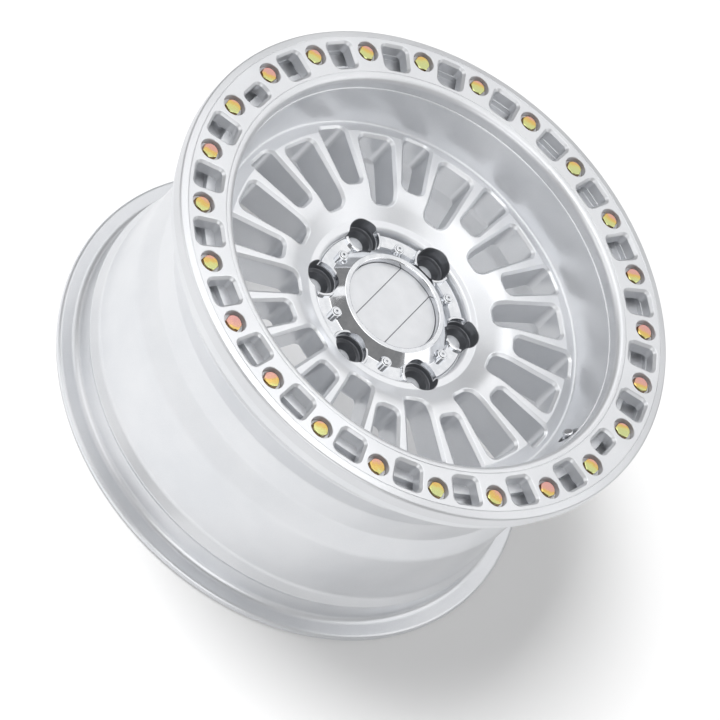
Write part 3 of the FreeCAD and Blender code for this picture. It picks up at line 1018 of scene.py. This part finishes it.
@dataclass
class OuterRing:
    """The bolted ring and its bolts."""

    foot: float = 88.0
    face: float = 101.5
    inner: float = 189.0
    outer: float = 240.0
    lip_round: float = 6.0
    edge_drop: float = 1.5
    edge_round: float = 2.5
    line_radii: Flat = (197.0, 232.5)
    line_width: float = 1.0
    line_depth: float = 0.5
    line_round: float = 0.2
    seat: Corner = (10.0, 94.6, 4.5)
    seat_bevel: float = 0.5
    overcut: float = 9.0
    pocket_inner: float = 202.3
    pocket_outer: float = 226.5
    pocket_angle: float = 3.1
    pocket_round: float = 4.5
    pocket_bevel: float = 2.5
    pocket_run: float = 40.0
    bare_outer: float = 217.0
    bare_pockets: tuple[int, int] = (8, 20)
    head_width: float = 13.0
    head_height: float = 5.3
    bevel_start: float = 4.0
    bevel_in: float = 1.2
    crown: float = 0.1
    shank: Flat = (4.0, 14.0)
    shank_tip: Flat = (0.6, 0.8)
    shank_sink: float = 0.3

    def build_ring(self) -> bpy.types.Object:
        """Turn the ring with its two fine lines, then sink the seats and pockets.

        Returns:
            The finished ring.
        """
        section: list[Corner] = [(self.inner, self.foot, 0), (self.inner, self.face, self.lip_round)]
        half = self.line_width / 2
        for middle in self.line_radii:
            section += [(middle - half, self.face, self.line_round),
                        (middle, self.face - self.line_depth, self.line_round),
                        (middle + half, self.face, self.line_round)]
        section += [(self.outer, self.face - self.edge_drop, self.edge_round), (self.outer, self.foot, 0.8)]
        ring = Bench.turned(section)
        radius, floor, hole = self.seat
        low = self.foot - self.overcut
        high = self.face + self.overcut
        mouth = radius + self.seat_bevel
        seat = Bench.turned([(0, low, 0), (hole, low, 0), (hole, floor, 0), (radius, floor, 0.8),
                             (radius, self.face - self.seat_bevel, 0.3), (mouth, self.face + 0.01, 0),
                             (mouth, high, 0), (0, high, 0)], HOLE_STEPS)
        seats = Bench.around(seat, *BOLTS)
        pitch = 360.0 / BOLTS.number
        pockets = []
        for index in range(BOLTS.number):
            outer = self.bare_outer if index in self.bare_pockets else self.pocket_outer
            pocket = SectorHole(self.pocket_inner, outer, self.pocket_angle, self.pocket_round,
                                self.pocket_round, self.pocket_bevel)
            tool = pocket.tool(lambda _: self.face, low, self.pocket_run)
            pockets.append(Bench.placed(tool, Matrix.Rotation(math.radians((index + 0.5) * pitch), 4, "Z")))
        Bench.carve(ring, [seats, Bench.joined(pockets)])
        Bench.smooth(ring)
        return ring

    def build_bolts(self) -> bpy.types.Object:
        """Hexagon heads with bevelled tops, on plain shanks.

        Returns:
            All the bolts, as one mesh.
        """
        floor = self.seat[1]
        top = floor + self.head_height
        across = self.head_width / math.sqrt(3)
        Bench.clear()
        bpy.ops.mesh.primitive_cylinder_add(vertices=6, radius=across * MM, depth=self.head_height * MM,
                                            location=(0, 0, (floor + self.head_height / 2) * MM))
        head = bpy.context.object
        Bench.placed(head, head.matrix_world.copy())
        cone = Bench.turned([(0, floor - 1, 0), (across + 1, floor - 1, 0),
                             (across + 1, floor + self.bevel_start, 0),
                             (across - self.bevel_in, top - self.crown, 0.4),
                             (0, top + 0.02, 0)], SMALL_STEPS)
        Bench.carve(head, [cone], Cut.WITHIN)
        radius, length = self.shank
        tip_in, tip_up = self.shank_tip
        end = floor - length
        shank = Bench.turned([(0, end, 0), (radius - tip_in, end, 0), (radius, end + tip_up, 0),
                              (radius, floor + self.shank_sink, 0), (0, floor + self.shank_sink, 0)], 32)
        Bench.carve(head, [shank], Cut.ADD)
        bolts = Bench.around(head, *BOLTS)
        Bench.smooth(bolts, 20.0)
        return bolts

    def dress(self, ring: bpy.types.Object, bolts: bpy.types.Object, silver: SatinSilver,
              zinc: GoldZinc) -> None:
        """Give the ring and bolts their finishes and places."""
        hand_over(ring, "bolted_ring", silver.material(), Body.WHEEL, "outer_ring")
        hand_over(bolts, "hexagon_bolts", zinc.material(), Body.WHEEL, "ring_bolts")


@dataclass
class CentreCap:
    """Chromed cap on the hub, with its disc and screws."""

    seat: float = 28.0
    flange: Flat = (74.0, 31.0)
    skirt: Flat = (49.0, 61.0)
    rim: float = 39.0
    rim_width: float = 5.0
    rim_round: float = 1.5
    spigot: Corner = (51.0, 48.0, 20.0)
    disc: Corner = (43.7, 31.0, 33.0)
    boss: Flat = (5.0, 36.0)
    screw: Corner = (22.4, 34.4, 36.8)
    screw_thread: float = 2.0
    screw_tip: Flat = (0.4, 0.6)
    screw_head: float = 3.5
    screw_hole: Flat = (2.15, 3.8)
    socket: Flat = (2.5, 1.2)
    notch: float = 15.9
    collar: Flat = (18.1, 33.5)
    collar_edge: float = 0.5
    collar_points: int = 96
    sink: float = 1.0
    roof: float = 3.0
    groove: float = 0.8

    def collars(self) -> bpy.types.Object:
        """Raised lips round the lug notches, kept within the flange.

        Returns:
            All the lips, as solid plugs in one mesh.
        """
        reach, top = self.collar
        edge = self.collar_edge
        rings = []
        for grow, height in ((0.0, self.seat + self.sink), (0.0, top - edge), (-edge, top)):
            ring = []
            for step in range(self.collar_points):
                along, across = polar(reach + grow, step * 360.0 / self.collar_points)
                spot = Vector((LUGS.radius + along, across))
                spot *= min(1.0, (self.flange[0] - 0.05 + grow) / spot.length)
                ring.append((spot.x, spot.y, height))
            rings.append(ring)
        return Bench.around(Bench.stacked(rings), LUGS.number, LUGS.phase)

    def build_shell(self) -> bpy.types.Object:
        """Turn the cap, set bosses and collars on it and cut the lug notches and screw holes.

        Returns:
            The finished cap.
        """
        low = self.disc[1]
        under = low - self.roof
        recess = self.skirt[0] - self.rim_width
        radius, top = self.flange
        spigot, bore, foot = self.spigot
        shell = Bench.turned([
            (0, under, 0), (0, low, 0), (recess, low, 0.6), (recess, self.rim, self.rim_round),
            (self.skirt[0], self.rim, self.rim_round), (self.skirt[1], top, 2.0),
            (radius, top, self.rim_round), (radius, self.seat, 0), (spigot, self.seat, 0),
            (spigot, foot, 0.5), (bore, foot, 0.5), (bore, under, 0)], 192)
        wide, high = self.boss
        root = self.seat + self.sink
        boss = Bench.turned([(0, root, 0), (wide, root, 0), (wide, high, 0.6), (0, high, 0)], HOLE_STEPS)
        bosses = Bench.around(boss, *CAP_SCREWS)
        Bench.carve(shell, [bosses, self.collars()], Cut.ADD)
        above = high + THROUGH
        notch = Bench.around(Bench.rod(self.notch, -THROUGH, above, HOLE_STEPS), *LUGS)
        thread, head = self.screw_hole
        seat = self.screw[1]
        hole = Bench.turned([(0, -THROUGH, 0), (thread, -THROUGH, 0), (thread, seat, 0), (head, seat, 0),
                             (head, above, 0), (0, above, 0)], SMALL_STEPS)
        holes = Bench.around(hole, *CAP_SCREWS)
        Bench.carve(shell, [notch, holes])
        Bench.smooth(shell)
        return shell

    def build_disc(self) -> bpy.types.Object:
        """Flat disc with two fine straight grooves beside its bar.

        Returns:
            The finished disc.
        """
        radius, low, top = self.disc
        disc = Bench.turned([(0, low, 0), (radius, low, 0), (radius, top, 0.5), (0, top, 0)], 128)
        half = self.groove / 2
        reach = radius + THROUGH
        tools = []
        for side in (-1, 1):
            middle = side * BAR_WIDTH / 2
            ring = [(-reach, middle - half), (reach, middle - half), (reach, middle + half),
                    (-reach, middle + half)]
            tools.append(Bench.stacked([[(x, y, z) for x, y in ring] for z in (top - half, top + 2)]))
        Bench.carve(disc, tools)
        Bench.placed(disc, Matrix.Rotation(math.radians(BAR_ANGLE), 4, "Z"))
        Bench.smooth(disc)
        return disc

    def build_screws(self) -> bpy.types.Object:
        """Small socket screws.

        Returns:
            All the screws, as one mesh.
        """
        tip, seat, top = self.screw
        thread, head = self.screw_thread, self.screw_head
        tip_in, tip_up = self.screw_tip
        screw = Bench.turned([(0, tip, 0), (thread - tip_in, tip, 0), (thread, tip + tip_up, 0),
                              (thread, seat, 0), (head, seat, 0.2), (head, top, 0.5),
                              (0, top, 0)], SMALL_STEPS)
        width, depth = self.socket
        Bench.carve(screw, [Bench.rod(width / math.sqrt(3), top - depth, top + 2, 6)])
        screws = Bench.around(screw, *CAP_SCREWS)
        Bench.smooth(screws)
        return screws

    def dress(self, shell: bpy.types.Object, disc: bpy.types.Object, screws: bpy.types.Object, chrome: Chrome,
              pale: PaleDisc) -> None:
        """Give the cap's pieces their finishes and places.

        Args:
            shell: The finished cap.
            disc: Its disc.
            screws: All its screws, as one mesh.
            chrome: The plating of cap and screws.
            pale: The disc's finish.
        """
        plating = chrome.material()
        hand_over(shell, "cap_shell", plating, Body.WHEEL, "centre_cap")
        hand_over(disc, "cap_face", pale.material(), Body.WHEEL, "cap_disc")
        hand_over(screws, "cap_socket_screws", plating, Body.WHEEL, "cap_screws")


@dataclass
class TyreValve:
    """The recessed valve: what shows is modelled, what is inside keeps its solid."""

    place: ValvePlace
    stem: Corner = (4.0, -42.0, -1.0)
    stem_head: Flat = (8.0, 4.0)
    air_hole: float = 1.6
    core_bore: Flat = (2.6, -30.6)
    thread_start: float = -21.0
    thread_runout: float = 1.2
    thread_pitch: float = 0.794
    thread_depth: float = 0.35
    cap: Corner = (5.5, -13.0, 4.5)
    cap_bore: float = 4.15
    cap_roof: float = 0.45
    cap_step: float = 0.35
    knurls: int = 30
    knurl_radius: float = 0.32
    knurl_top: float = -1.2
    nut: Corner = (12.0, -20.5, -15.5)
    nut_bore: float = 4.15
    nut_bevel: Flat = (0.9, 0.7)
    spring: Corner = (1.3, -22.0, -9.05)
    spring_bore: float = 0.8
    pin_travel: float = 1.2

    def build_stem(self) -> bpy.types.Object:
        """Stem with a head on the tyre side, a thread of fine ridges and a stepped bore.

        Returns:
            The finished stem.
        """
        radius, head_top, top = self.stem
        head, thickness = self.stem_head
        bore, bore_floor = self.core_bore
        foot = head_top - thickness
        section: list[Corner] = [(self.air_hole, foot, 0), (head, foot, 0.6), (head, head_top, 0.6),
                                 (radius, head_top, 0)]
        ridge = self.thread_start
        while ridge < top - self.thread_runout:
            section += [(radius - self.thread_depth, ridge, 0), (radius, ridge + self.thread_pitch / 2, 0)]
            ridge += self.thread_pitch
        section += [(radius - 0.4, top, 0), (bore, top, 0), (bore, bore_floor, 0),
                    (self.air_hole, bore_floor, 0)]
        stem = Bench.placed(Bench.turned(section, SMALL_STEPS), self.place.matrix())
        Bench.smooth(stem, 40.0)
        return stem

    def build_cap(self) -> bpy.types.Object:
        """Screw cap with a domed top and a knurled skirt.

        Returns:
            The finished cap.
        """
        radius, foot, top = self.cap
        dome = radius - self.cap_step
        cap = Bench.turned([(0, self.cap_roof, 0), (self.cap_bore, self.cap_roof, 0),
                            (self.cap_bore, foot, 0), (radius, foot, 0.5),
                            (radius, self.knurl_top, 0.3), (dome, -0.8, 0.2),
                            (dome, top, 2.3), (0, top, 0)], 96)
        flute = Bench.rod(self.knurl_radius, foot - 1, self.knurl_top, 12)
        Bench.carve(cap, [Bench.around(flute, self.knurls, 0.0, radius + 0.1)])
        Bench.placed(cap, self.place.matrix())
        Bench.smooth(cap, 32.0)
        return cap

    def build_nut(self) -> bpy.types.Object:
        """Hexagon nut with bevelled corners.

        Returns:
            The finished nut.
        """
        width, low, high = self.nut
        bore = self.nut_bore
        bevel, rise = self.nut_bevel
        across = width / math.sqrt(3)
        nut = Bench.rod(across, low, high, 6)
        waist = Bench.turned([(bore, low, 0), (across - bevel, low, 0), (across, low + rise, 0),
                              (across, high - rise, 0), (across - bevel, high, 0),
                              (bore, high, 0)], SMALL_STEPS)
        Bench.carve(nut, [waist], Cut.WITHIN)
        Bench.placed(nut, self.place.matrix())
        Bench.smooth(nut)
        return nut

    def build_spring(self) -> bpy.types.Object:
        """The core's spring, as the tube that its coils fill.

        Returns:
            The finished spring.
        """
        radius, low, high = self.spring
        spring = Bench.turned([(self.spring_bore, low, 0), (radius, low, 0), (radius, high, 0),
                               (self.spring_bore, high, 0)], SMALL_STEPS)
        Bench.placed(spring, self.place.matrix())
        Bench.smooth(spring)
        return spring

    def shorten(self, spring: bpy.types.Object) -> None:
        """Give the spring its own copy of its mesh; it is not shortened.

        Args:
            spring: The finished spring.
        """
        place = self.place.matrix()
        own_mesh(spring)

    def dress(self, stem: bpy.types.Object, cap: bpy.types.Object, nut: bpy.types.Object,
              spring: bpy.types.Object) -> None:
        """Give the valve's pieces and the solids that stay their finishes.

        Args:
            stem: The finished stem.
            cap: The screw cap.
            nut: The nut that clamps the stem.
            spring: The core's spring.
        """
        nickel = PlainMetal("valve_nickel", tone(0.76, 0.77, 0.79), tone(0.62, 0.63, 0.66), 0.14).material()
        brass = PlainMetal("core_brass", tone(0.78, 0.60, 0.28), tone(0.58, 0.42, 0.18), 0.24).material()
        steel = PlainMetal("spring_steel", tone(0.56, 0.56, 0.57), tone(0.36, 0.36, 0.37), 0.28).material()
        rubber = BlackRubber("valve_rubber").material()
        hand_over(stem, "threaded_stem", nickel, Body.WHEEL, "valve_stem")
        hand_over(cap, "knurled_cap", nickel, Body.CAP, "valve_cap")
        hand_over(nut, "clamp_nut", nickel, Body.WHEEL, "valve_nut")
        self.shorten(hand_over(spring, "core_spring", steel, Body.WHEEL, "valve_core_spring"))
        kept = {"valve_washer": nickel, "valve_grommet": rubber, "valve_core_seal": rubber,
                "valve_cap_seal": rubber, "valve_core_sleeve": brass, "valve_core_pin": brass}
        for name, material in kept.items():
            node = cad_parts[name]
            node.data.materials.clear()
            node.data.materials.append(material)
            LOG.info("%s keeps its solid", name)


@dataclass(frozen=True)
class SoftBox:
    """A broad lamp that faces the wheel."""

    name: str
    direction: tuple[float, float, float]
    distance: float
    size: float
    glow: float
    floor: Floor = Floor.LEFT_OUT
    face: LampFace = LampFace.SQUARE

    def place(self, plane: bpy.types.Object) -> None:
        """Add the lamp, with its power worked out from the glow of its face.

        Args:
            plane: The floor that it lights alone or leaves out.
        """
        Bench.clear()
        way = Vector(self.direction).normalized()
        bpy.ops.object.light_add(type="AREA", location=way * self.distance)
        lamp = bpy.context.object
        lamp.name = self.name
        lamp.visible_camera = False
        lamp.data.shape = self.face.value
        lamp.data.size = self.size
        area = self.size ** 2 * (math.pi / 4 if self.face is LampFace.ROUND else 1.0)
        lamp.data.energy = self.glow * math.pi * area
        lamp.rotation_euler = way.to_track_quat("Z", "Y").to_euler()
        linked = bpy.data.collections.new(self.name)
        linked.objects.link(plane)
        linked.collection_objects[0].light_linking.link_state = self.floor.value
        lamp.light_linking.receiver_collection = linked


@dataclass
class Studio:
    """White floor, soft boxes, pale surroundings and the camera."""

    floor_size: float = 14.0
    world_glow: float = 0.28
    floor_lift: float = 0.28
    boxes: tuple[SoftBox, ...] = (
        SoftBox("floor_key", (0.26, -0.30, 0.92), 7.0, 3.1, 17.5, Floor.ALONE),
        SoftBox("face_box", (-0.54, -0.40, 0.74), 3.2, 3.0, 0.80),
        SoftBox("top_box", (0.05, -0.45, 0.90), 3.2, 2.6, 0.90),
        SoftBox("left_fill", (0.82, -0.30, 0.48), 4.0, 3.2, 1.2),
        SoftBox("front_fill", (0.50, 0.72, 0.47), 4.6, 3.2, 1.6),
        SoftBox("low_fill", (-0.25, 0.84, 0.46), 4.4, 3.2, 0.15),
        SoftBox("right_fill", (-0.72, 0.32, 0.60), 3.6, 2.4, 1.2),
        SoftBox("dish_glow", (0.0, 0.0, 1.0), 0.75, 0.5, 1.6, face=LampFace.ROUND),
        SoftBox("under_glow", (0.0, 0.0, -1.0), 0.145, 0.28, 0.25),
        SoftBox("hub_glow", (0.0, 0.0, -1.0), 0.003, 0.158, 1.0, face=LampFace.ROUND))
    lens: float = 202.735
    sensor: float = 36.0
    station: tuple[float, float, float] = (1.93375, 1.45050, 2.59680)
    right: tuple[float, float, float] = (-0.83994, 0.24498, 0.48423)
    up: tuple[float, float, float] = (0.01391, -0.88230, 0.47048)
    back: tuple[float, float, float] = (0.54249, 0.40191, 0.73768)

    def floor(self) -> bpy.types.Object:
        """A large pale floor at the wheel's lowest point.

        Returns:
            The floor.
        """
        Bench.clear()
        bpy.ops.mesh.primitive_plane_add(size=self.floor_size, location=(0, 0, CAD_BOX[0][2]))
        plane = bpy.context.object
        plane.name = "floor"
        graph = Graph("white_floor")
        matt = graph.node("ShaderNodeBsdfDiffuse", inputs={"Color": tone(0.92, 0.92, 0.92)})
        white = graph.node("ShaderNodeEmission", inputs={"Color": tone(1, 1, 1), "Strength": 1.0})
        path = graph.node("ShaderNodeLightPath").outputs
        seen = Num(graph, path["Is Camera Ray"]) + Num(graph, path["Is Glossy Ray"])
        seen = seen + Num(graph, path["Is Transmission Ray"])
        both = graph.node("ShaderNodeMixShader", inputs={0: seen * self.floor_lift, 1: matt.outputs[0],
                                                         2: white.outputs[0]})
        graph.node("ShaderNodeOutputMaterial", inputs={"Surface": both.outputs[0]})
        plane.data.materials.append(graph.material)
        return plane

    def light(self, floor: bpy.types.Object) -> None:
        """Add the soft boxes and an even pale world.

        Args:
            floor: The floor that each lamp lights alone or leaves out.
        """
        for box in self.boxes:
            box.place(floor)
        world = bpy.data.worlds.new("pale_room")
        bpy.context.scene.world = world
        world.use_nodes = True
        background = world.node_tree.nodes["Background"].inputs
        background["Color"].default_value = tone(1.0, 1.0, 1.0)
        background["Strength"].default_value = self.world_glow

    def camera(self) -> None:
        """The camera at its station, rolled as the photograph is."""
        Bench.clear()
        bpy.ops.object.camera_add()
        camera = bpy.context.object
        camera.name = "camera"
        axes = Matrix((self.right, self.up, self.back)).transposed()
        camera.matrix_world = Matrix.Translation(self.station) @ axes.to_4x4()
        camera.data.lens = self.lens
        camera.data.sensor_width = self.sensor
        camera.data.clip_end = 100.0
        bpy.context.scene.camera = camera

    def build(self) -> None:
        """Set the whole studio up."""
        self.light(self.floor())
        self.camera()
        bpy.context.scene.view_settings.view_transform = "Standard"


def main() -> None:
    """Build every sub-assembly and dress it, then set the studio up."""
    logging.basicConfig(level=logging.INFO, format="%(name)s %(message)s")
    place = ValvePlace()
    casting = Casting()
    casting.dress(casting.build(place), SatinSilver("casting_silver"))
    ring = OuterRing()
    ring_finish = SatinSilver("ring_silver", tone(0.74, 0.75, 0.77), tone(0.68, 0.69, 0.71))
    ring.dress(ring.build_ring(), ring.build_bolts(), ring_finish, GoldZinc("bolt_zinc"))
    cap = CentreCap()
    cap.dress(cap.build_shell(), cap.build_disc(), cap.build_screws(), Chrome("cap_chrome"),
              PaleDisc("cap_pale"))
    valve = TyreValve(place)
    valve.dress(valve.build_stem(), valve.build_cap(), valve.build_nut(), valve.build_spring())
    Studio().build()
    Bench.clear()


if __name__ == "__main__":
    main()
